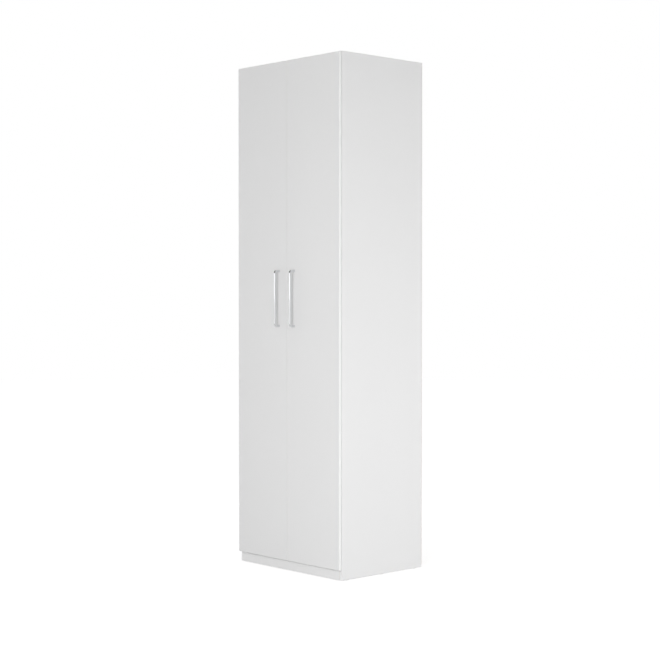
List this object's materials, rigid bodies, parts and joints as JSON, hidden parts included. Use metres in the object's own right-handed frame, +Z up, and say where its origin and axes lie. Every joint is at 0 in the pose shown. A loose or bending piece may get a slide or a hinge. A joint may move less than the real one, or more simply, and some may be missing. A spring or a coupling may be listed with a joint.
{
  "type": "wardrobe",
  "caption": "Tall narrow white wardrobe with hinged doors, bow handles, a hanging rail and shelves.",
  "frame": {"origin": "on the floor, under the middle of the overall box, handles included", "axes": "+Z up, -Y out of the doors towards the user, +X to the user's right"},
  "size_m": [0.71, 0.568, 2.38],
  "materials": {
    "white_board": "particle board with satin white melamine and white edge band",
    "door_board": "particle board with satin white coating and white edge band",
    "hardboard": "thin hardboard, white paint inside, bare brown behind",
    "white_plastic": "moulded white plastic",
    "chrome": "bright chrome plate",
    "plated_steel": "nickel plate on pressed steel",
    "zinc_casting": "die-cast zinc",
    "beech": "plain fluted beech",
    "clear_rubber": "soft clear rubber"
  },
  "bodies": {
    "carcass": {"top_panel": "white_board", "bottom_panel": "white_board", "upper_shelf": "white_board", "lower_shelf": "white_board", "adjustable_shelf": "white_board", "front_plinth": "white_board", "rear_plinth": "white_board", "back_sheet_upper": "hardboard", "back_sheet_lower": "hardboard", "back_joint_strip": "white_plastic", "hanging_rail": "chrome", "rail_socket_screws": "plated_steel", "cam_bolts": "plated_steel", "cam_locks": "zinc_casting", "cam_covers": "white_plastic", "wooden_dowels": "beech", "shelf_pins": "plated_steel", "floor_glides": "white_plastic", "wall_brackets": "plated_steel", "wall_bracket_screws": "plated_steel", "left_side_panel": "white_board", "left_rail_socket": "zinc_casting", "left_hinge_plates": "zinc_casting", "left_hinge_plate_screws": "plated_steel", "left_hinge_arms": "plated_steel", "left_hinge_arm_screws": "plated_steel", "right_side_panel": "white_board", "right_rail_socket": "zinc_casting", "right_hinge_plates": "zinc_casting", "right_hinge_plate_screws": "plated_steel", "right_hinge_arms": "plated_steel", "right_hinge_arm_screws": "plated_steel"},
    "left_door": {"left_door_panel": "door_board", "left_handle": "chrome", "left_handle_screws": "plated_steel", "left_hinge_cups": "plated_steel", "left_hinge_pins": "plated_steel", "left_hinge_cup_screws": "plated_steel", "left_door_bumpers": "clear_rubber"},
    "right_door": {"right_door_panel": "door_board", "right_handle": "chrome", "right_handle_screws": "plated_steel", "right_hinge_cups": "plated_steel", "right_hinge_pins": "plated_steel", "right_hinge_cup_screws": "plated_steel", "right_door_bumpers": "clear_rubber"}
  },
  "joints": [
    {"name": "left_door_hinge", "type": "hinge", "parent": "carcass", "child": "left_door", "pos_m": [-0.34755, -0.24655, 0.15], "axis": [0, 0, -1], "range_deg": [0, 105]},
    {"name": "right_door_hinge", "type": "hinge", "parent": "carcass", "child": "right_door", "pos_m": [0.34755, -0.24655, 0.15], "axis": [0, 0, 1], "range_deg": [0, 105]}
  ]
}
